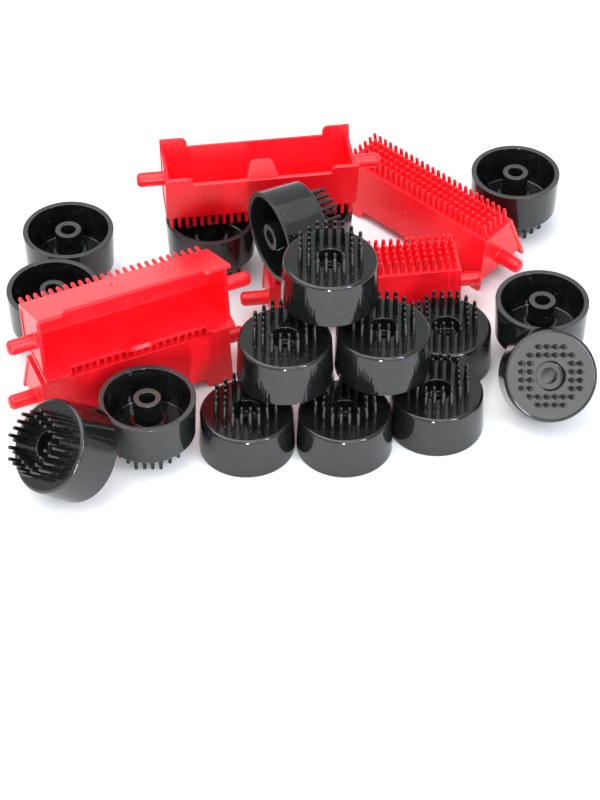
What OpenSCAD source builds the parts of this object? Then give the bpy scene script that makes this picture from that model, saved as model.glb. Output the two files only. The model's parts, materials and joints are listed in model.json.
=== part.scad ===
// A set of loose scrubbing brushes for a golf club and ball washer, all sizes in millimetres.
// Round brushes slip over a spindle. Bar brushes hang between two end pins.
// Every brush is one plastic moulding, so each of them is one solid in its own node.

/* [Round brush] */
// Outside diameter of the cup at its open rim
round_d = 50; // [44:1:60]
// Height of the cup from its open rim to its bristle face
cup_h = 24; // [20:1:30]
// How much smaller the cup's diameter is at its face than at its rim
cup_draft = 2; // [0.5:0.5:3]
// Thickness of the cup's side wall
cup_wall = 3; // [2:0.25:4]
// Thickness of the bristle face
face_t = 3; // [2:0.25:4]
// Rounding of the face's outer edge
face_round = 1.8; // [0.5:0.1:2.4]
// Diameter of the spindle bore
bore_d = 8; // [6:0.25:10]
// Wall of the boss around the spindle bore
boss_wall = 3.25; // [2.5:0.25:4]
// Diameter of the recess at the centre of the face
recess_d = 15; // [13:0.5:17]
// Depth of the recess below the face
recess_depth = 8; // [5:0.5:10]
// Wall around the recess, and under it
recess_wall = 2; // [1.5:0.25:2.5]
// Number of gusset ribs inside the cup
rib_count = 5; // [3:1:8]
// How far a rib reaches inwards at the face
rib_reach = 7; // [4:0.5:9]
// Thickness of a rib
rib_t = 1.2; // [0.8:0.1:2]

/* [Round brush bristles] */
// Length of a bristle
bristle_l = 12; // [8:0.5:15]
// Diameter of a bristle at its root
bristle_d = 2.4; // [1.8:0.1:2.8]
// Diameter of a bristle at its tip
bristle_tip_d = 2; // [1.4:0.1:2.4]
// Distance between neighbouring bristles
bristle_pitch = 4.3; // [3.6:0.1:5]
// Plain ring left around the recess
inner_land = 2; // [1:0.25:3]
// Plain ring left inside the rounded edge
outer_land = 3.5; // [2:0.25:6]

/* [Bar brush] */
// Length of the bar over its wings
bar_l = 105; // [85:1:130]
// How far the end walls are set in from the wings' ends
end_inset = 0.5; // [0.3:0.1:1]
// Width of the web that carries the nubs
web_w = 22; // [18:1:28]
// Height of a wing along its slope, from the web to the free edge
wing_h = 28; // [22:1:34]
// How far each wing leans outwards, in degrees
flare = 15; // [8:1:20]
// Thickness of the web, the wings and the end walls
bar_wall = 2; // [1.5:0.1:3]
// Length of the ear at each end of a wing's free edge
ear_l = 15; // [10:1:20]
// Height of an ear above the free edge
ear_h = 5; // [3.5:0.5:7]
// Rounding of an ear's inner corner
ear_round = 3.2; // [2:0.1:3.4]

/* [Bar brush nubs] */
// Length of a nub
nub_l = 8.5; // [6:0.5:11]
// Diameter of a nub at its root
nub_d = 2.5; // [1.8:0.1:2.8]
// Diameter of a nub at its tip
nub_tip_d = 2.1; // [1.4:0.1:2.6]
// Distance between neighbouring nubs
nub_pitch = 4.1; // [3.6:0.1:4.6]
// Plain margin around the field of nubs
nub_margin = 1.5; // [1:0.25:3]

/* [Bar brush end pins] */
// Diameter of an end pin
pin_d = 8; // [6:0.25:10]
// Length of an end pin
pin_l = 15; // [10:1:20]
// Height of the pins' axis above the outer face of the web
pin_h = 20; // [16:0.5:22]
// Bevel around the tip of a pin
pin_bevel = 1.5; // [0.5:0.1:2.5]

/* [Bar brush lug] */
// Width of the lug at its root
lug_w = 17; // [14:1:20]
// Width of the lug at its end
lug_end_w = 12; // [10:0.5:14]
// Length of the lug
lug_l = 11; // [9:0.5:13]
// Thickness of the lug
lug_t = 2.5; // [2:0.1:3]
// How far the lug leans in over the trough, in degrees from the wing
lug_lean = 45; // [35:1:50]
// Diameter of the round mark sunk into the lug's inner face
lug_mark_d = 2.6; // [2:0.1:3.4]
// Distance from the lug's end to the middle of the mark
lug_mark_in = 4; // [3.5:0.1:5]

/* [Layout of the heap] */
// Gap left between brushes that stand against each other
touch_gap = 0.4; // [0.3:0.05:1]
// How far an upper round brush sits behind the middle of the two that carry it
set_back = 15.2; // [12:0.2:16]
// Direction of the bars behind the round brushes, in degrees
row_turn = 8; // [0:1:12]
// Direction of the bars at the left, in degrees
left_turn = 25; // [15:1:30]
// Direction of the bar that lies across the back, in degrees
cross_turn = -45; // [-50:1:-35]
// Direction from the front middle round brush to the front right one, in degrees
front_turn = 18; // [14:1:22]

/* [Hidden] */
$fn = 48;
plastic_black = "#1c1e1d";
plastic_red = "#e5121c";

// Round brush
round_r = round_d / 2;
face_r = round_r - cup_draft / 2;
boss_r = bore_d / 2 + boss_wall;
recess_r = recess_d / 2;
thimble_r = recess_r + recess_wall;
thimble_z = cup_h - recess_depth - recess_wall;
brush_h = cup_h + bristle_l;
round_pitch = round_d + touch_gap;
bristle_r = bristle_d / 2;
field_min = recess_r + inner_land + bristle_r;
field_max = face_r - face_round - outer_land - bristle_r;
half_cells = ceil(round_r / bristle_pitch);
bristle_steps = [for (i = [-half_cells : half_cells - 1]) (i + 0.5) * bristle_pitch];
arc_steps = 5;

// Bar brush, drawn nubs down with the outer face of its web at z = 0
wing_dy = wing_h * sin(flare);
wing_z = wing_h * cos(flare);
edge_y = web_w / 2 + wing_dy;
ear_tip_y = web_w / 2 + (wing_h + ear_h) * sin(flare);
ear_tip_z = (wing_h + ear_h) * cos(flare);
tub_l = bar_l - 2 * end_inset;
lug_turn = lug_lean - flare;
lug_foot_y = bar_wall / 4 - edge_y;
lug_tip_y = lug_l * sin(lug_turn) + lug_foot_y;
lug_tip_z = lug_l * cos(lug_turn) + wing_z;
nub_cols = floor((bar_l - 2 * nub_margin - nub_d) / nub_pitch) + 1;
nub_rows = floor((web_w - 2 * nub_margin - nub_d) / nub_pitch) + 1;

// Rest of a bar that lies nubs up, on its lug and on the two ears of the other wing
ear_in_y = ear_tip_y - bar_wall * cos(flare);
ear_in_z = ear_tip_z + bar_wall * sin(flare);
up_tilt = atan((ear_in_z - lug_tip_z) / (lug_tip_y - ear_in_y));
up_z = ear_in_y * sin(up_tilt) + ear_in_z * cos(up_tilt);

// Rest of a bar that lies on one wing, with its outer nubs down
side_tilt = 90 - flare;
nub_row_y = (nub_rows - 1) / 2 * nub_pitch + nub_tip_d / 2;
nub_foot = (web_w / 2 - nub_row_y) * sin(side_tilt) - nub_l * cos(side_tilt);
side_z = max(0, -nub_foot);
side_front = ear_tip_z * sin(side_tilt) + (ear_tip_y - web_w / 2) * cos(side_tilt);
side_back = web_w * cos(side_tilt) + nub_l * sin(side_tilt);

// Rest of a round brush that leans on the rim of an upturned one, or lies on its tapered side
lean_reach = round_d - cup_wall / 2;
lean_tilt = asin((brush_h + touch_gap * 1.5) / lean_reach);
lean_step = round_r + (lean_reach - round_r) * cos(lean_tilt);
lying_tilt = 90 + atan(cup_draft / 2 / cup_h);

// Half depth that a bar takes up on the floor, and how far back it keeps from a round brush
bar_r = ear_tip_y;
bar_step = round_r + touch_gap + bar_r;

// How far the upper bar's nubs keep behind the ears of the bar that carries it, and how far the
// round brush behind it keeps from its wing
crease_gap = 1;
wing_clear = 2;
crease_back = side_front - bar_r + crease_gap;

// Directions from one brush to its neighbour, in degrees
right_turn = 82;
lean_left_turn = 215;
far_left_turn = 184;
back_left_turn = 85;
roll_turn = 20;

// Offsets along a bar, in millimetres, and the depth left for what lies between two bars
left_along = 8;
pair_along = -21;
middle_along = -38;
back_along = -50;
across_along = -35;
open_along = 25;
roll_along = -52;
roll_across = -6;
back_clear = 6;

// Middle of each brush, worked out from a neighbour's. The front row stands on the floor.
front_middle = [0, 0];
front_left = beside(front_middle, 180);
front_right = beside(front_middle, front_turn);

// Second row and top, each on the bristles of the two brushes below it
second_right = shift((front_middle + front_right) / 2, front_turn, 0, set_back);
second_left = beside(second_right, 180 + row_turn);
top = shift((second_left + second_right) / 2, row_turn, 0, set_back);

// Right side
middle_right = beside(front_right, right_turn);
leaning_right = front_right + [round_pitch * 1.15, round_pitch / 3];
upturned_right = leaning_right + lean_step * heading(90);

// Left side
upturned_front = beside(front_left, far_left_turn);
leaning_left = upturned_front + lean_step * heading(lean_left_turn);
left_bar = shift(upturned_front, left_turn, left_along, bar_step);
pair_back = crease_back + side_back + wing_clear + round_r + touch_gap;
upturned_left = shift(left_bar, left_turn, pair_along, pair_back);
upturned_back_left = beside(upturned_left, back_left_turn);

// Back
middle_bar = shift(middle_right, row_turn, middle_along, bar_step);
back_bar = shift(middle_bar, row_turn, back_along, bar_step + back_clear);
carrier_step = round_pitch * 0.54;
carrier_left = shift(back_bar, row_turn, -carrier_step, 0);
carrier_right = shift(back_bar, row_turn, carrier_step, 0);
bar_corner = shift(middle_bar, row_turn, bar_l / 2, bar_r);
cross_bar = shift(bar_corner, cross_turn, across_along, bar_r + touch_gap);
upturned_back_right = shift(cross_bar, cross_turn, open_along, bar_step);

function heading(a) = [cos(a), sin(a)];
function beside(c, a) = c + round_pitch * heading(a);
function shift(c, a, along, across) = c + along * heading(a) + across * heading(a + 90);
function kept(x, y) = norm([x, y]) >= field_min && norm([x, y]) <= field_max;

// Places for round brushes, from a middle on the floor or on the brushes below

module standing(c, tier = 0) {
    translate([c.x, c.y, tier * (brush_h + touch_gap)]) children();
}

module upturned(c) {
    translate([c.x, c.y, brush_h]) rotate([180, 0, 0]) children();
}

// Tipped over its own rim, with the bristles pointing the way that is given
module tipped(c, way, tilt) {
    translate([c.x, c.y, round_r * sin(tilt)]) rotate([tilt, 0, way + 90]) children();
}

// Places for bar brushes

module nubs_down(c, turn) {
    translate([c.x, c.y, brush_h + touch_gap + nub_l]) rotate([0, 0, turn]) children();
}

module nubs_up(c, turn) {
    translate([c.x, c.y, up_z]) rotate([180 + up_tilt, 0, turn]) children();
}

module on_one_wing() {
    translate([0, 0, side_z]) rotate([side_tilt, 0, 0]) translate([0, web_w / 2, 0]) children();
}

// What lies on the nubs of a bar: its floor is the plane of the nubs' tips
module on_nubs_of(c, turn, along, across) {
    nubs_up(c, turn) rotate([180, 0, 0]) translate([along, across, nub_l + touch_gap]) children();
}

// One round brush, with its open rim at z = 0 and its bristles up

module cup_section() {
    corner = [for (i = [0 : arc_steps]) [
        face_r - face_round + face_round * cos(90 * i / arc_steps),
        cup_h - face_round + face_round * sin(90 * i / arc_steps)
    ]];
    polygon(concat(
        [[round_r, 0]],
        corner,
        [
            [recess_r, cup_h],
            [recess_r, cup_h - recess_depth],
            [bore_d / 2, cup_h - recess_depth],
            [bore_d / 2, 0],
            [boss_r, 0],
            [boss_r, thimble_z],
            [thimble_r, thimble_z],
            [thimble_r, cup_h - face_t],
            [face_r - cup_wall, cup_h - face_t],
            [round_r - cup_wall, 0]
        ]
    ));
}

module rib() {
    root_r = round_r - cup_wall / 2;
    rotate([90, 0, 0])
        linear_extrude(rib_t, center = true)
            polygon([
                [root_r, cup_h / 5],
                [root_r, cup_h - face_t / 2],
                [root_r - rib_reach, cup_h - face_t / 2],
                [root_r - rib_reach, cup_h - face_t - 1]
            ]);
}

// Tapered peg with a blunt bevelled tip, starting a little inside the face that it grows from
module peg(length, root_d, tip_d) {
    tip_cut = tip_d / 4;
    sunk = 0.5;
    rotate_extrude()
        polygon([
            [0, -sunk],
            [root_d / 2, -sunk],
            [root_d / 2, 0],
            [tip_d / 2, length - tip_cut],
            [tip_d / 2 - tip_cut, length],
            [0, length]
        ]);
}

module round_brush() {
    color(plastic_black) {
        rotate_extrude($fn = 96) cup_section();
        for (i = [0 : rib_count - 1])
            rotate([0, 0, i * 360 / rib_count]) rib();
        for (x = bristle_steps, y = bristle_steps)
            if (kept(x, y))
                translate([x, y, cup_h]) peg(bristle_l, bristle_d, bristle_tip_d, $fn = 24);
    }
}

// One bar brush, along X, nubs down, with the outer face of its web at z = 0

module ear_outline() {
    square([ear_l, ear_h - ear_round]);
    square([ear_l - ear_round, ear_h]);
    translate([ear_l - ear_round, ear_h - ear_round]) circle(ear_round);
}

// A wing with its two ears, in its own plane: length along X and slope height along Y
module wing_outline() {
    translate([-bar_l / 2, 0]) square([bar_l, wing_h]);
    for (s = [0, 1])
        mirror([s, 0]) translate([-bar_l / 2, wing_h]) ear_outline();
}

module wing() {
    translate([0, web_w / 2, 0])
        rotate([90 - flare, 0, 0])
            linear_extrude(bar_wall) wing_outline();
}

// Web and end walls in one, with sides that end inside the wings
module tub() {
    outer_in = bar_wall / 4;
    inner_in = bar_wall * 3 / 4;
    rotate([90, 0, 90])
        difference() {
            linear_extrude(tub_l, center = true)
                polygon([
                    [outer_in - web_w / 2, 0],
                    [web_w / 2 - outer_in, 0],
                    [edge_y - outer_in, wing_z],
                    [outer_in - edge_y, wing_z]
                ]);
            linear_extrude(tub_l - 2 * bar_wall, center = true)
                polygon([
                    [inner_in - web_w / 2, bar_wall],
                    [web_w / 2 - inner_in, bar_wall],
                    [edge_y - inner_in, wing_z + bar_wall],
                    [inner_in - edge_y, wing_z + bar_wall]
                ]);
        }
}

module end_pin() {
    sunk = bar_wall / 2;
    rotate_extrude()
        polygon([
            [0, -sunk],
            [pin_d / 2, -sunk],
            [pin_d / 2, pin_l - pin_bevel],
            [pin_d / 2 - pin_bevel, pin_l],
            [0, pin_l]
        ]);
}

// The lug stands on the free edge of one wing and leans in over the trough
module lug() {
    corner_r = 3;
    mark_depth = 1;
    translate([0, lug_foot_y, wing_z])
        rotate([90 - lug_turn, 0, 0])
            mirror([0, 0, 1])
                difference() {
                    linear_extrude(lug_t) {
                        polygon([
                            [-lug_w / 2, 0],
                            [lug_w / 2, 0],
                            [lug_end_w / 2, lug_l - corner_r],
                            [-lug_end_w / 2, lug_l - corner_r]
                        ]);
                        for (s = [-1, 1])
                            translate([s * (lug_end_w / 2 - corner_r), lug_l - corner_r]) circle(corner_r);
                        translate([corner_r - lug_end_w / 2, lug_l - corner_r])
                            square([lug_end_w - 2 * corner_r, corner_r]);
                    }
                    translate([0, lug_l - lug_mark_in, lug_t - mark_depth])
                        cylinder(h = lug_t, d = lug_mark_d);
                }
}

module bar_brush() {
    color(plastic_red) {
        tub();
        wing();
        mirror([0, 1, 0]) wing();
        for (s = [0, 1])
            mirror([s, 0, 0])
                translate([tub_l / 2, 0, pin_h]) rotate([0, 90, 0]) end_pin();
        lug();
        for (i = [0 : nub_cols - 1], j = [0 : nub_rows - 1])
            translate([(i - (nub_cols - 1) / 2) * nub_pitch, (j - (nub_rows - 1) / 2) * nub_pitch, 0])
                rotate([180, 0, 0]) peg(nub_l, nub_d, nub_tip_d, $fn = 24);
    }
}

// The brushes of the heap

module round_brush_front_middle() { standing(front_middle) round_brush(); }
module round_brush_front_left() { standing(front_left) round_brush(); }
module round_brush_front_right() { standing(front_right) round_brush(); }
module round_brush_second_left() { standing(second_left, tier = 1) round_brush(); }
module round_brush_second_right() { standing(second_right, tier = 1) round_brush(); }
module round_brush_top() { standing(top, tier = 2) round_brush(); }
module round_brush_middle_right() { standing(middle_right) round_brush(); }
module round_brush_leaning_right() { tipped(leaning_right, -90, lean_tilt) round_brush(); }
module round_brush_upturned_right() { upturned(upturned_right) round_brush(); }
module round_brush_upturned_front() { upturned(upturned_front) round_brush(); }
module round_brush_leaning_left() { tipped(leaning_left, 215, lean_tilt) round_brush(); }
module round_brush_upturned_left() { upturned(upturned_left) round_brush(); }
module round_brush_upturned_back_left() { upturned(upturned_back_left) round_brush(); }
module round_brush_upturned_back_right() { upturned(upturned_back_right) round_brush(); }
module round_brush_on_side() {
    on_nubs_of(middle_bar, row_turn, roll_along, roll_across)
        tipped([0, 0], roll_turn, lying_tilt) round_brush();
}
module round_brush_carrier_left() { upturned(carrier_left) round_brush(); }
module round_brush_carrier_right() { upturned(carrier_right) round_brush(); }
module bar_brush_middle() { nubs_up(middle_bar, row_turn) bar_brush(); }
module bar_brush_left() { nubs_up(left_bar, left_turn) bar_brush(); }
module bar_brush_on_side() { on_nubs_of(left_bar, left_turn, 0, crease_back) on_one_wing() bar_brush(); }
module bar_brush_back() { nubs_down(back_bar, row_turn) bar_brush(); }
module bar_brush_across() { nubs_up(cross_bar, cross_turn) bar_brush(); }

round_brush_front_middle();
round_brush_front_left();
round_brush_front_right();
round_brush_second_left();
round_brush_second_right();
round_brush_top();
round_brush_middle_right();
round_brush_leaning_right();
round_brush_upturned_right();
round_brush_upturned_front();
round_brush_leaning_left();
round_brush_upturned_left();
round_brush_upturned_back_left();
round_brush_upturned_back_right();
round_brush_on_side();
round_brush_carrier_left();
round_brush_carrier_right();
bar_brush_middle();
bar_brush_left();
bar_brush_on_side();
bar_brush_back();
bar_brush_across();
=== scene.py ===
import json
import math
import random

import bmesh
import bpy
from mathutils import Euler, Matrix, Vector


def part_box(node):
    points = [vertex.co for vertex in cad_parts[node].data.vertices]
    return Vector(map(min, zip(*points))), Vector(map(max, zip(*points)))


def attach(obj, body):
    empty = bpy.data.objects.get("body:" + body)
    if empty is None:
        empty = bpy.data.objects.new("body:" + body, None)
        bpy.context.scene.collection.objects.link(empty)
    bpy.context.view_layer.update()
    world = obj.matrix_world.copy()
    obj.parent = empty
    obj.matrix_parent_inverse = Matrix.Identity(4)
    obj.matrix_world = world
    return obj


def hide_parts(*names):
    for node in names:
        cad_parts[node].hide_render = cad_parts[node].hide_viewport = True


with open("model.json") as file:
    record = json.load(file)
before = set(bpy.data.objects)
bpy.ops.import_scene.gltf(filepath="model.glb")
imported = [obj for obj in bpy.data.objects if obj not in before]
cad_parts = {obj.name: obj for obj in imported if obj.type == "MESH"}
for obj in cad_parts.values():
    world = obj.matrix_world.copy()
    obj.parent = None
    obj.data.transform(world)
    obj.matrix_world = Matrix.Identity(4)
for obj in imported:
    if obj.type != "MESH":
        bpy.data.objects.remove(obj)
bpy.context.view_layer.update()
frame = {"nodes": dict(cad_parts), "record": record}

scene = bpy.context.scene
record = frame["record"]
mm = 0.001
print("frame loaded,", len(frame["nodes"]), "brushes")


# shared node groups

def startGroup(name, inputs, outputs):
    group = bpy.data.node_groups.new(name, "ShaderNodeTree")
    for label, kind, value in inputs:
        socket = group.interface.new_socket(name=label, in_out="INPUT", socket_type=kind)
        if value is not None:
            socket.default_value = value
    for label, kind in outputs:
        group.interface.new_socket(name=label, in_out="OUTPUT", socket_type=kind)
    entry = group.nodes.new("NodeGroupInput")
    leave = group.nodes.new("NodeGroupOutput")
    return group, entry, leave


def link(tree, source, target):
    tree.links.new(source, target)


def mathNode(tree, operation, first, second=None, third=None):
    node = tree.nodes.new("ShaderNodeMath")
    node.operation = operation
    for index, value in enumerate((first, second, third)):
        if value is None:
            continue
        if hasattr(value, "is_output"):
            link(tree, value, node.inputs[index])
        else:
            node.inputs[index].default_value = value
    return node.outputs[0]


def mapRange(tree, value, low, high, toLow=0.0, toHigh=1.0):
    node = tree.nodes.new("ShaderNodeMapRange")
    node.inputs["From Min"].default_value = low
    node.inputs["From Max"].default_value = high
    node.inputs["To Min"].default_value = toLow
    node.inputs["To Max"].default_value = toHigh
    link(tree, value, node.inputs["Value"])
    return node.outputs["Result"]


def noiseNode(tree, vector, scale, detail=2.0, rough=0.5):
    node = tree.nodes.new("ShaderNodeTexNoise")
    node.inputs["Detail"].default_value = detail
    node.inputs["Roughness"].default_value = rough
    if hasattr(scale, "is_output"):
        link(tree, scale, node.inputs["Scale"])
    else:
        node.inputs["Scale"].default_value = scale
    link(tree, vector, node.inputs["Vector"])
    return node.outputs["Fac"]


def stretched(tree, vector, size, turn=(0, 0, 0)):
    node = tree.nodes.new("ShaderNodeMapping")
    node.inputs["Scale"].default_value = size
    node.inputs["Rotation"].default_value = turn
    link(tree, vector, node.inputs["Vector"])
    return node.outputs["Vector"]


def makeScuffs():
    group, entry, leave = startGroup(
        "handlingScuffs",
        [("Vector", "NodeSocketVector", None), ("Coverage", "NodeSocketFloat", 0.5)],
        [("Mask", "NodeSocketFloat")])
    strokes = []
    for turn, long, wide in (((0.3, 0.9, 0.4), 60, 2600), ((1.2, 0.2, 1.1), 90, 3400)):
        along = stretched(group, entry.outputs["Vector"], (long, wide, wide), turn)
        line = noiseNode(group, along, 1.0, 1.0)
        strokes.append(mapRange(group, line, 0.68, 0.74))
    both = mathNode(group, "MAXIMUM", strokes[0], strokes[1])
    patch = noiseNode(group, entry.outputs["Vector"], 70, 3.0, 0.6)
    wider = mathNode(group, "MULTIPLY", entry.outputs["Coverage"], 0.25)
    edge = mathNode(group, "SUBTRACT", 0.72, wider)
    where = mapRange(group, mathNode(group, "SUBTRACT", patch, edge), 0.0, 0.08)
    link(group, mathNode(group, "MULTIPLY", both, where), leave.inputs["Mask"])
    return group


def makeDust():
    group, entry, leave = startGroup(
        "dustSpecks",
        [("Vector", "NodeSocketVector", None), ("Scale", "NodeSocketFloat", 420.0),
         ("Amount", "NodeSocketFloat", 0.3)],
        [("Mask", "NodeSocketFloat")])
    cells = group.nodes.new("ShaderNodeTexVoronoi")
    link(group, entry.outputs["Vector"], cells.inputs["Vector"])
    link(group, entry.outputs["Scale"], cells.inputs["Scale"])
    pick = group.nodes.new("ShaderNodeSeparateColor")
    link(group, cells.outputs["Color"], pick.inputs["Color"])
    kept = mathNode(group, "LESS_THAN", pick.outputs[0], entry.outputs["Amount"])
    size = mathNode(group, "MULTIPLY", pick.outputs[1], 0.16)
    speck = mathNode(group, "LESS_THAN", cells.outputs["Distance"], size)
    link(group, mathNode(group, "MULTIPLY", kept, speck), leave.inputs["Mask"])
    return group


def makeRipple():
    group, entry, leave = startGroup(
        "mouldRipple",
        [("Vector", "NodeSocketVector", None), ("Place", "NodeSocketVector", None),
         ("Draw marks", "NodeSocketFloat", 0.3), ("Grain", "NodeSocketFloat", 0.1)],
        [("Height", "NodeSocketFloat")])
    sink = noiseNode(group, entry.outputs["Vector"], 55, 1.0)
    draw = noiseNode(group, stretched(group, entry.outputs["Place"], (900, 900, 14)), 1.0, 1.0)
    grain = noiseNode(group, entry.outputs["Vector"], 2600, 2.0)
    total = mathNode(group, "MULTIPLY_ADD", draw, entry.outputs["Draw marks"], sink)
    total = mathNode(group, "MULTIPLY_ADD", grain, entry.outputs["Grain"], total)
    link(group, total, leave.inputs["Height"])
    return group


scuffGroup = makeScuffs()
dustGroup = makeDust()
rippleGroup = makeRipple()


def placeGroup(tree, group, **values):
    node = tree.nodes.new("ShaderNodeGroup")
    node.node_tree = group
    for label, value in values.items():
        socket = node.inputs[label.replace("_", " ")]
        if hasattr(value, "is_output"):
            link(tree, value, socket)
        else:
            socket.default_value = value
    return node.outputs[0]


def mixColour(tree, share, first, second):
    node = tree.nodes.new("ShaderNodeMix")
    node.data_type = "RGBA"
    link(tree, share, node.inputs["Factor"])
    for index, value in ((6, first), (7, second)):
        if hasattr(value, "is_output"):
            link(tree, value, node.inputs[index])
        else:
            node.inputs[index].default_value = (*value, 1)
    return node.outputs[2]


# materials

def makePlastic(name, look):
    material = bpy.data.materials.new(name)
    material.use_nodes = True
    tree = material.node_tree
    shader = tree.nodes["Principled BSDF"]
    where = tree.nodes.new("ShaderNodeTexCoord").outputs["Object"]
    mould = tree.nodes.new("ShaderNodeAttribute")
    mould.attribute_name = "mouldPlace"
    place = mould.outputs["Vector"]

    cloud = noiseNode(tree, where, look["cloudScale"], 3.0)
    scuffs = placeGroup(tree, scuffGroup, Vector=where, Coverage=look["scuffs"])
    dust = placeGroup(tree, dustGroup, Vector=where, Scale=look["dustScale"], Amount=look["dust"])
    flow = noiseNode(tree, stretched(tree, place, look["flowStretch"]), 1.0, 2.0)

    cloudPart = mathNode(tree, "MULTIPLY", cloud, 0.6)
    flowPart = mathNode(tree, "MULTIPLY", flow, 0.4)
    tone = mapRange(tree, mathNode(tree, "ADD", cloudPart, flowPart), 0.35, 0.65)
    colour = mixColour(tree, tone, look["colour"], look["colourTwo"])
    seenScuffs = mathNode(tree, "MULTIPLY", scuffs, look["scuffShow"])
    seenDust = mathNode(tree, "MULTIPLY", dust, look["dustShow"])
    worn = mathNode(tree, "MAXIMUM", seenScuffs, seenDust)
    link(tree, mixColour(tree, worn, colour, look["wornColour"]), shader.inputs["Base Color"])

    rough = mathNode(tree, "MULTIPLY_ADD", cloud, look["roughVary"], look["rough"])
    rough = mathNode(tree, "MULTIPLY_ADD", scuffs, 0.22, rough)
    rough = mathNode(tree, "MULTIPLY_ADD", dust, 0.4, rough)
    link(tree, rough, shader.inputs["Roughness"])

    height = placeGroup(tree, rippleGroup, Vector=where, Place=place,
                        Draw_marks=look["drawMarks"], Grain=look["grain"])
    height = mathNode(tree, "MULTIPLY_ADD", scuffs, -0.08, height)  # scratches are cut in
    bump = tree.nodes.new("ShaderNodeBump")
    bump.inputs["Strength"].default_value = look["bump"]
    bump.inputs["Distance"].default_value = 0.0006
    link(tree, height, bump.inputs["Height"])
    link(tree, bump.outputs["Normal"], shader.inputs["Normal"])

    shader.inputs["IOR"].default_value = look["ior"]
    shader.inputs["Subsurface Weight"].default_value = look["glow"]
    shader.inputs["Subsurface Scale"].default_value = 0.003
    shader.inputs["Subsurface Radius"].default_value = (1.0, 0.18, 0.12)
    return material


blackLook = {
    "colour": (0.0045, 0.0050, 0.0048), "colourTwo": (0.0075, 0.0085, 0.0080),
    "wornColour": (0.16, 0.17, 0.17),
    "rough": 0.07, "roughVary": 0.06, "ior": 1.56, "glow": 0.0,
    "bump": 0.16, "drawMarks": 0.10, "grain": 0.012,
    "cloudScale": 60, "flowStretch": (200, 200, 30),
    "scuffs": 0.55, "scuffShow": 0.35, "dust": 0.10, "dustScale": 380, "dustShow": 0.5,
}
# the cut rim that a cup stands on is duller than its moulded skin
rimLook = dict(blackLook, colour=(0.020, 0.022, 0.022), colourTwo=(0.034, 0.037, 0.037),
               rough=0.36, roughVary=0.12, grain=0.05, bump=0.3)
redLook = {
    "colour": (0.80, 0.004, 0.010), "colourTwo": (0.90, 0.008, 0.018),
    "wornColour": (0.95, 0.35, 0.38),
    "rough": 0.24, "roughVary": 0.10, "ior": 1.5, "glow": 0.12,
    "bump": 0.14, "drawMarks": 0.08, "grain": 0.02,
    "cloudScale": 45, "flowStretch": (20, 60, 120),
    "scuffs": 0.35, "scuffShow": 0.25, "dust": 0.05, "dustScale": 300, "dustShow": 0.5,
}
blackPlastic = makePlastic("blackPlastic", blackLook)
rimPlastic = makePlastic("blackRimPlastic", rimLook)
redPlastic = makePlastic("redPlastic", redLook)
print("materials made")


# mesh helpers

def bevelEdges(bm, edges, width, steps):
    bmesh.ops.bevel(bm, geom=edges, offset=width * mm, offset_type="OFFSET", segments=steps,
                    profile=0.5, affect="EDGES", material=-1, clamp_overlap=True)


def sharpEdges(bm, degrees=28):
    limit = math.radians(degrees)
    return [e for e in bm.edges if len(e.link_faces) == 2 and e.calc_face_angle(0) > limit]


def spinProfile(corners, steps, closed):
    # corners are (radius, height, rounding, rounding steps)
    bm = bmesh.new()
    verts = [bm.verts.new((r * mm, 0, z * mm)) for r, z, _, _ in corners]
    bm.faces.new(verts)
    for vert, (r, z, rounding, count) in zip(verts, corners):
        if rounding:
            bmesh.ops.bevel(bm, geom=[vert], offset=rounding * mm, offset_type="OFFSET",
                            segments=count, profile=0.5, affect="VERTICES", material=-1)
    bmesh.ops.delete(bm, geom=list(bm.faces), context="FACES_ONLY")
    if not closed:  # the side that lies on the axis is left out
        axisEdges = [e for e in bm.edges if all(abs(v.co.x) < 1e-9 for v in e.verts)]
        bmesh.ops.delete(bm, geom=axisEdges, context="EDGES")
    bmesh.ops.spin(bm, geom=list(bm.edges) + list(bm.verts), cent=(0, 0, 0),
                   axis=(0, 0, 1), angle=math.tau, steps=steps, use_merge=True,
                   use_duplicate=False)
    bmesh.ops.remove_doubles(bm, verts=bm.verts, dist=1e-7)
    bmesh.ops.recalc_face_normals(bm, faces=bm.faces)
    return bm


def grown(bm, faces, move, attached=False):
    result = bmesh.ops.extrude_face_region(bm, geom=faces)["geom"]
    moved = [g for g in result if isinstance(g, bmesh.types.BMVert)]
    bmesh.ops.translate(bm, vec=move, verts=moved)
    if attached:  # the faces that were grown from would stay inside as a wall
        bmesh.ops.delete(bm, geom=faces, context="FACES")
    return [g for g in result if isinstance(g, bmesh.types.BMFace)]


def asMesh(bm, name):
    mesh = bpy.data.meshes.new(name)
    bm.to_mesh(mesh)
    bm.free()
    return mesh


def addShape(bm, mesh, matrix):
    placed = mesh.copy()
    placed.transform(matrix)
    bm.from_mesh(placed)
    bpy.data.meshes.remove(placed)


# round brush

roundBrush = {  # millimetres
    "rimRadius": 25, "faceRadius": 24, "height": 24, "wall": 3, "face": 3, "faceRound": 1.8,
    "boreRadius": 4, "bossRadius": 7.25, "thimbleRadius": 9.5,
    "recessRadius": 7.5, "recessDepth": 8, "bossShort": 2,
    "ribs": 5, "ribReach": 7, "ribThick": 1.2, "ribRound": 0.25, "smoothness": 96,
}
bristle = {
    "length": 12, "rootRadius": 1.2, "tipRadius": 1.0, "pitch": 4.3,
    "innerLand": 2, "outerLand": 3.5, "sides": 10, "leanDegrees": 0.9,
}


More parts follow.
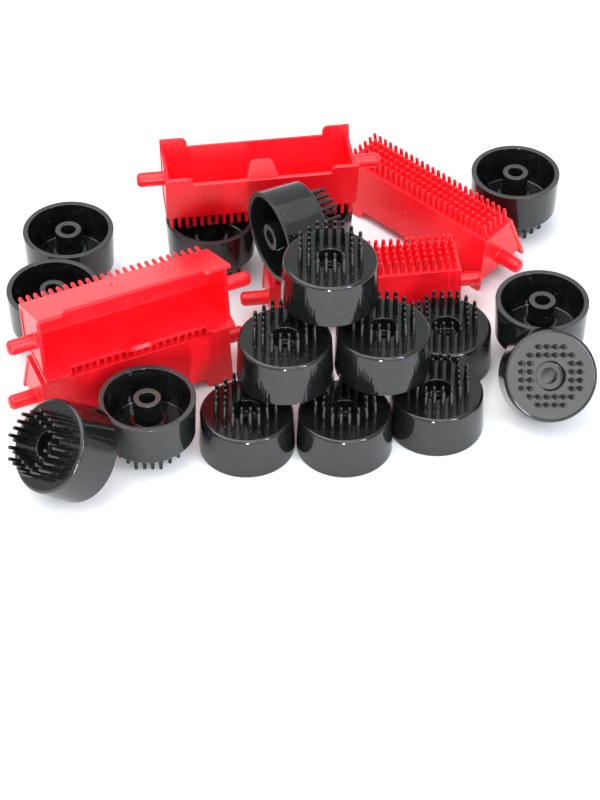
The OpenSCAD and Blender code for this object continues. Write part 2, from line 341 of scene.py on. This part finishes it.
def cupShell(s):
    inner = s["rimRadius"] - s["wall"]
    floor = s["height"] - s["recessDepth"]
    under = s["height"] - s["face"]
    return spinProfile([
        (s["rimRadius"], 0, 0.3, 2),
        (s["faceRadius"], s["height"], s["faceRound"], 6),
        (s["recessRadius"], s["height"], 0.5, 3),
        (s["recessRadius"], floor, 0.6, 2),
        (s["boreRadius"], floor, 0.3, 2),
        (s["boreRadius"], 0, 0.4, 2),
        (s["bossRadius"], 0, 0.35, 2),
        (s["bossRadius"], floor - s["bossShort"], 0.5, 2),
        (s["thimbleRadius"], floor - s["bossShort"], 0.5, 2),
        (s["thimbleRadius"], under, 0.8, 3),
        (inner - 1, under, 1.0, 3),
        (inner, 0, 0.35, 2),
    ], s["smoothness"], closed=True)


def cupRib(s):
    root = s["rimRadius"] - s["wall"] / 2
    tip = root - s["ribReach"]
    top = s["height"] - s["face"] / 2
    side = [(root, s["height"] / 5), (root, top), (tip, top), (tip, s["height"] - s["face"] - 1)]
    thick = s["ribThick"] * mm
    bm = bmesh.new()
    face = bm.faces.new([bm.verts.new((x * mm, -thick / 2, z * mm)) for x, z in side])
    grown(bm, [face], (0, thick, 0))
    bmesh.ops.recalc_face_normals(bm, faces=bm.faces)
    bevelEdges(bm, sharpEdges(bm), s["ribRound"], 2)
    return asMesh(bm, "rib")


def pegShape(length, root, tip, sides, sunk=0.4):
    bm = spinProfile([
        (0, -sunk, 0, 0),
        (root + 0.35, -sunk, 0, 0),
        (root + 0.3, 0.02, 0, 0),
        (root, 0.4, 0, 0),
        (tip, length - tip * 0.75, 0, 0),
        (tip * 0.8, length - tip * 0.25, 0, 0),
        (tip * 0.38, length, 0, 0),
        (0, length - tip * 0.12, 0, 0),
    ], sides, closed=False)
    return asMesh(bm, "peg")


def randomTurn(chance, lean, flip=0.0):
    angles = (flip + chance.uniform(-lean, lean), chance.uniform(-lean, lean), chance.uniform(0, 1))
    return Euler(angles).to_matrix().to_4x4()


def makeRoundBrush(seed):
    s, b = roundBrush, bristle
    bm = cupShell(s)
    rib = cupRib(s)
    for index in range(s["ribs"]):
        addShape(bm, rib, Matrix.Rotation(math.tau * index / s["ribs"], 4, "Z"))
    peg = pegShape(b["length"], b["rootRadius"], b["tipRadius"], b["sides"])
    near = s["recessRadius"] + b["innerLand"] + b["rootRadius"]
    far = s["faceRadius"] - s["faceRound"] - b["outerLand"] - b["rootRadius"]
    half = math.ceil(s["rimRadius"] / b["pitch"])
    chance = random.Random(seed)
    lean = math.radians(b["leanDegrees"])
    for i in range(-half, half):
        for j in range(-half, half):
            x, y = (i + 0.5) * b["pitch"], (j + 0.5) * b["pitch"]
            if near <= math.hypot(x, y) <= far:
                root = Matrix.Translation((x * mm, y * mm, s["height"] * mm))
                addShape(bm, peg, root @ randomTurn(chance, lean))
    for face in bm.faces:
        if face.calc_center_median().z < 0.05 * mm:
            face.material_index = 1  # the rim
    return bm


# bar brush

barBrush = {  # millimetres
    "length": 105, "endInset": 0.5, "web": 22, "wing": 28, "flare": 15, "wall": 2, "edge": 0.22,
    "earLength": 15, "earHeight": 5, "earRound": 3.2,
    "pinRadius": 4, "pinLength": 15, "pinHeight": 20, "pinRound": 2.6,
    "lugRoot": 17, "lugEnd": 12, "lugLength": 11, "lugThick": 2.5, "lugLean": 45, "lugRound": 3,
    "markRadius": 1.3, "markIn": 4, "markDepth": 1,
    "gateAlong": -6, "gateUp": 12,
    "nubLength": 8.5, "nubRoot": 1.25, "nubTip": 1.05, "nubPitch": 4.1, "nubMargin": 1.5,
    "nubSides": 8, "nubLean": 0.01,
}


def troughShell(s):
    lean = math.radians(s["flare"])
    half, wall = s["length"] / 2 * mm, s["wall"] * mm
    bm = bmesh.new()
    corners = {}
    for side in (1, -1):
        up = Vector((0, side * math.sin(lean), math.cos(lean)))
        inward = Vector((0, -side * math.cos(lean), math.sin(lean)))
        foot = Vector((-half, side * s["web"] / 2 * mm, 0))
        creaseY = s["web"] / 2 * mm + wall * math.tan(lean) - wall / math.cos(lean)
        crease = Vector((-half, side * creaseY, wall))
        tip = foot + up * s["wing"] * mm
        corners[side] = [bm.verts.new(p) for p in (foot, tip, tip + inward * wall, crease)]
    right, left = corners[1], corners[-1]
    faces = [bm.faces.new(right), bm.faces.new(left[::-1]),
             bm.faces.new((right[0], right[3], left[3], left[0]))]
    ear = s["earLength"] * mm
    for index, step in enumerate((ear, 2 * half - 2 * ear, ear)):
        faces = grown(bm, faces, (step, 0, 0), attached=index > 0)
    bmesh.ops.recalc_face_normals(bm, faces=bm.faces)

    for side in (1, -1):
        up = Vector((0, side * math.sin(lean), math.cos(lean)))
        tops = []
        for face in bm.faces:
            middle = face.calc_center_median()
            atEnd = abs(middle.x) > half - ear and middle.z > s["wing"] / 2 * mm
            if atEnd and middle.y * side > 0 and face.normal.dot(up) > 0.99:
                tops.append(face)
        for top in tops:
            grown(bm, [top], up * s["earHeight"] * mm, attached=True)
    bm.normal_update()
    earTop = math.cos(lean) * (s["wing"] + s["earHeight"]) * mm
    corner = [e for e in bm.edges
              if all(v.co.z > earTop - 1e-5 and abs(abs(v.co.x) - (half - ear)) < 1e-6
                     for v in e.verts)]
    bevelEdges(bm, corner, s["earRound"], 7)
    bevelEdges(bm, sharpEdges(bm, 25), s["edge"], 2)
    return bm


def endWall(s):
    lean = math.radians(s["flare"])
    top = s["wing"] * math.cos(lean)
    low = s["web"] / 2 - 0.8
    high = s["web"] / 2 + s["wing"] * math.sin(lean) - 1.0
    bm = bmesh.new()
    x = (s["length"] / 2 - s["endInset"] - s["wall"]) * mm
    outline = ((-low, 0.4), (low, 0.4), (high, top), (-high, top))
    face = bm.faces.new([bm.verts.new((x, y * mm, z * mm)) for y, z in outline])
    grown(bm, [face], (s["wall"] * mm, 0, 0))
    bmesh.ops.recalc_face_normals(bm, faces=bm.faces)
    bevelEdges(bm, sharpEdges(bm), 0.25, 2)
    return asMesh(bm, "endWall")


def endPin(s):
    bm = spinProfile([
        (0, -1, 0, 0),
        (s["pinRadius"] + 0.5, -1, 0, 0),
        (s["pinRadius"] + 0.5, 0.02, 0, 0),
        (s["pinRadius"], 0.5, 0.3, 2),
        (s["pinRadius"], s["pinLength"], s["pinRound"], 7),
        (0, s["pinLength"], 0, 0),
    ], 40, closed=False)
    return asMesh(bm, "endPin")


def lugShape(s):
    thick = s["lugThick"] * mm
    root, end, long = s["lugRoot"] / 2, s["lugEnd"] / 2, s["lugLength"]
    outline = [(-root - 1.2, -0.5), (root + 1.2, -0.5), (root - 0.1, 1.4),
               (end, long), (-end, long), (0.1 - root, 1.4)]
    bm = bmesh.new()
    face = bm.faces.new([bm.verts.new((x * mm, y * mm, 0)) for x, y in outline])
    grown(bm, [face], (0, 0, thick))
    bmesh.ops.recalc_face_normals(bm, faces=bm.faces)
    tips = [e for e in bm.edges if all(v.co.y > (long - 0.01) * mm for v in e.verts)
            and abs(e.verts[0].co.x - e.verts[1].co.x) < 1e-7]
    bevelEdges(bm, tips, s["lugRound"], 7)
    bevelEdges(bm, sharpEdges(bm, 30), 0.3, 2)
    bm.normal_update()
    front = max((f for f in bm.faces if f.normal.z > 0.99), key=lambda f: f.calc_area())
    rim = list(front.edges)
    bmesh.ops.delete(bm, geom=[front], context="FACES_ONLY")
    centre = Vector((0, (long - s["markIn"]) * mm, 0))
    at = Matrix.Translation(centre + Vector((0, 0, thick)))
    ring = bmesh.ops.create_circle(bm, cap_ends=False, segments=20,
                                   radius=s["markRadius"] * mm, matrix=at)["verts"]
    ringEdges = list({e for v in ring for e in v.link_edges})
    bmesh.ops.bridge_loops(bm, edges=rim + ringEdges)
    for scale, depth in ((0.92, 0.85), (1.0, 0.15), (0.6, 0.0)):
        result = bmesh.ops.extrude_edge_only(bm, edges=ringEdges)["geom"]
        ring = [g for g in result if isinstance(g, bmesh.types.BMVert)]
        ringEdges = [g for g in result if isinstance(g, bmesh.types.BMEdge)]
        bmesh.ops.scale(bm, vec=(scale, scale, 1), space=Matrix.Translation(-centre), verts=ring)
        bmesh.ops.translate(bm, vec=(0, 0, -depth * s["markDepth"] * mm), verts=ring)
    bmesh.ops.contextual_create(bm, geom=ringEdges)
    bmesh.ops.scale(bm, vec=(1, 1, -1), verts=bm.verts)
    bmesh.ops.recalc_face_normals(bm, faces=bm.faces)
    return asMesh(bm, "lug")


def makeBarBrush(seed):
    s = barBrush
    lean = math.radians(s["flare"])
    bm = troughShell(s)
    wall, pin = endWall(s), endPin(s)
    for turn in (0, math.pi):
        around = Matrix.Rotation(turn, 4, "Z")
        addShape(bm, wall, around)
        root = Matrix.Translation(((s["length"] / 2 - s["endInset"]) * mm, 0, s["pinHeight"] * mm))
        addShape(bm, pin, around @ root @ Matrix.Rotation(math.pi / 2, 4, "Y"))
    edgeY = s["web"] / 2 + s["wing"] * math.sin(lean)
    tilt = math.radians(90 - (s["lugLean"] - s["flare"]))
    foot = Matrix.Translation((0, (s["wall"] / 4 - edgeY) * mm, s["wing"] * math.cos(lean) * mm))
    addShape(bm, lugShape(s), foot @ Matrix.Rotation(tilt, 4, "X"))
    gate = pegShape(0.55, 0.55, 0.4, 10, 0.3)  # the nib that the runner leaves on a wing
    gateY = s["web"] / 2 + s["gateUp"] * math.sin(lean)
    for side in (1, -1):
        place = Vector((s["gateAlong"], side * gateY, s["gateUp"] * math.cos(lean))) * mm
        out = Matrix.Translation(place)
        addShape(bm, gate, out @ Matrix.Rotation(-side * (math.pi / 2 + lean), 4, "X"))
    nub = pegShape(s["nubLength"], s["nubRoot"], s["nubTip"], s["nubSides"])
    edge = 2 * s["nubMargin"] + 2 * s["nubRoot"]
    columns = math.floor((s["length"] - edge) / s["nubPitch"]) + 1
    rows = math.floor((s["web"] - edge) / s["nubPitch"]) + 1
    chance = random.Random(seed)
    for i in range(columns):
        for j in range(rows):
            x = (i - (columns - 1) / 2) * s["nubPitch"] * mm
            y = (j - (rows - 1) / 2) * s["nubPitch"] * mm
            turn = randomTurn(chance, s["nubLean"], math.pi)
            addShape(bm, nub, Matrix.Translation((x, y, 0)) @ turn)
    return bm


# places of the brushes

# barTilt: a bar upside down on its ears and lug; cupLean: a cup tipped on its bristles;
# rollTilt: a cup on its side, past upright by the draft of its wall
lie = {
    "row": 8, "left": 25, "cross": -45, "leaning": 305, "rolled": 110,
    "barTilt": 7.968, "cupLean": 48.994, "rollTilt": 92.3859,
}
turns = {  # degrees about X, Z and so on, the last one first
    "leaning_right": [("X", lie["cupLean"])],
    "leaning_left": [("Z", lie["leaning"]), ("X", lie["cupLean"])],
    "on_side": [("Z", lie["row"]), ("X", lie["barTilt"]),
                ("Z", lie["rolled"]), ("X", lie["rollTilt"])],
    "bar_middle": [("Z", lie["row"]), ("X", 180 + lie["barTilt"])],
    "bar_left": [("Z", lie["left"]), ("X", 180 + lie["barTilt"])],
    "bar_across": [("Z", lie["cross"]), ("X", 180 + lie["barTilt"])],
    "bar_on_side": [("Z", lie["left"]), ("X", 90 - barBrush["flare"] + lie["barTilt"])],
    "bar_back": [("Z", lie["row"])],
    "upside_down": [("X", 180)],
}


def turned(steps):
    matrix = Matrix.Identity(4)
    for axis, degrees in steps:
        matrix = matrix @ Matrix.Rotation(math.radians(degrees), 4, axis)
    return matrix


mountPlace = {m["name"]: Vector(m["pos_m"]) for m in record["mounts"]}


def brushPlace(body):
    if body.startswith("bar"):
        turn = turned(turns[body])
        middle = (mountPlace[body + "_pin_left"] + mountPlace[body + "_pin_right"]) / 2
        down = Matrix.Translation((0, 0, -barBrush["pinHeight"] * mm))
        return Matrix.Translation(middle) @ turn @ down
    name = body.replace("round_", "")
    if name in turns:
        steps = turns[name]
    elif mountPlace[body + "_bore"].z > 30 * mm and ("upturned" in name or "carrier" in name):
        steps = turns["upside_down"]
    else:
        steps = []
    return Matrix.Translation(mountPlace[body + "_bore"]) @ turned(steps)


# one mesh per brush, placed, with its place in the mould kept as an attribute
def finishBrush(bm, node, body, materials):
    mesh = asMesh(bm, node + "_moulding")
    local = [0.0] * (len(mesh.vertices) * 3)
    mesh.vertices.foreach_get("co", local)
    place = mesh.attributes.new("mouldPlace", "FLOAT_VECTOR", "POINT")
    place.data.foreach_set("vector", local)
    mesh.transform(brushPlace(body))
    mesh.polygons.foreach_set("use_smooth", [True] * len(mesh.polygons))
    mesh.set_sharp_from_angle(angle=math.radians(50))
    for material in materials:
        mesh.materials.append(material)
    piece = bpy.data.objects.new(node + "_moulding", mesh)
    scene.collection.objects.link(piece)
    even = piece.modifiers.new("evenShading", "WEIGHTED_NORMAL")
    even.weight = 100
    even.keep_sharp = True
    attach(piece, body)
    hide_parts(node)
    low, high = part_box(node)
    points = [v.co for v in mesh.vertices]
    off = 0.0
    for axis in range(3):
        values = [p[axis] for p in points]
        off = max(off, abs(min(values) - low[axis]), abs(max(values) - high[axis]))
    print(f"{node}: {len(mesh.polygons)} faces, box off by {off / mm:.2f} mm")


for index, (body, nodes) in enumerate(sorted(record["behaviour"]["bodies"].items())):
    node = nodes[0]
    if body.startswith("bar"):
        finishBrush(makeBarBrush(index), node, body, [redPlastic])
    else:
        finishBrush(makeRoundBrush(index), node, body, [blackPlastic, rimPlastic])
print("brushes made")


# floor, light and camera

studio = {
    "floor": 3.0, "worldLight": 0.75, "sky": 1.3, "skySpread": 100,
    "lens": 105, "distance": 1.21, "elevation": 43, "aim": (-0.023, 0.014, 0.018),
}


def makeFloor():
    bm = bmesh.new()
    bmesh.ops.create_grid(bm, x_segments=4, y_segments=4, size=studio["floor"])
    mesh = asMesh(bm, "floor")
    mesh.transform(Matrix.Translation((0, 0, -0.0004)))
    floor = bpy.data.objects.new("floor", mesh)
    scene.collection.objects.link(floor)
    material = bpy.data.materials.new("paleFloor")
    material.use_nodes = True
    shader = material.node_tree.nodes["Principled BSDF"]
    shader.inputs["Base Color"].default_value = (0.86, 0.87, 0.88, 1)
    shader.inputs["Roughness"].default_value = 0.6
    mesh.materials.append(material)


def areaLight(name, place, aim, size, power, colour=(1, 1, 1)):
    light = bpy.data.lights.new(name, "AREA")
    light.shape = "RECTANGLE"
    light.size, light.size_y = size
    light.energy = power
    light.color = colour
    lamp = bpy.data.objects.new(name, light)
    lamp.location = place
    lamp.rotation_euler = (Vector(aim) - Vector(place)).to_track_quat("-Z", "Y").to_euler()
    lamp.visible_camera = False
    scene.collection.objects.link(lamp)


makeFloor()
areaLight("softAbove", (-0.45, 0.1, 1.5), (0, 0.05, 0), (1.6, 1.6), 18)
areaLight("softFront", (0.6, -1.3, 1.2), (0, 0.05, 0), (1.0, 1.0), 8)
areaLight("lowStrip", (-0.03, -0.5, 0.12), (-0.02, 0.05, 0.05), (0.03, 0.3), 2.2)
areaLight("coolStrip", (0.5, -0.45, 0.6), (0.03, 0.05, 0.04), (0.06, 0.5), 3.0, (0.7, 0.82, 1.0))

sky = bpy.data.lights.new("evenSky", "SUN")
sky.energy = studio["sky"]
sky.angle = math.radians(studio["skySpread"])
evenSky = bpy.data.objects.new("evenSky", sky)
evenSky.rotation_euler = (math.radians(12), math.radians(-14), 0)
scene.collection.objects.link(evenSky)

world = bpy.data.worlds.new("studioAir")
world.use_nodes = True
world.node_tree.nodes["Background"].inputs["Color"].default_value = (0.97, 0.98, 1.0, 1)
world.node_tree.nodes["Background"].inputs["Strength"].default_value = studio["worldLight"]
scene.world = world
scene.view_settings.view_transform = "Standard"

lens = bpy.data.cameras.new("camera")
lens.lens = studio["lens"]
lens.sensor_width = 36
camera = bpy.data.objects.new("camera", lens)
tilt = math.radians(studio["elevation"])
back = Vector((0, -math.cos(tilt), math.sin(tilt)))
camera.location = Vector(studio["aim"]) + studio["distance"] * back
camera.rotation_euler = (math.radians(90) - tilt, 0, 0)
scene.collection.objects.link(camera)
scene.camera = camera
print("studio set")
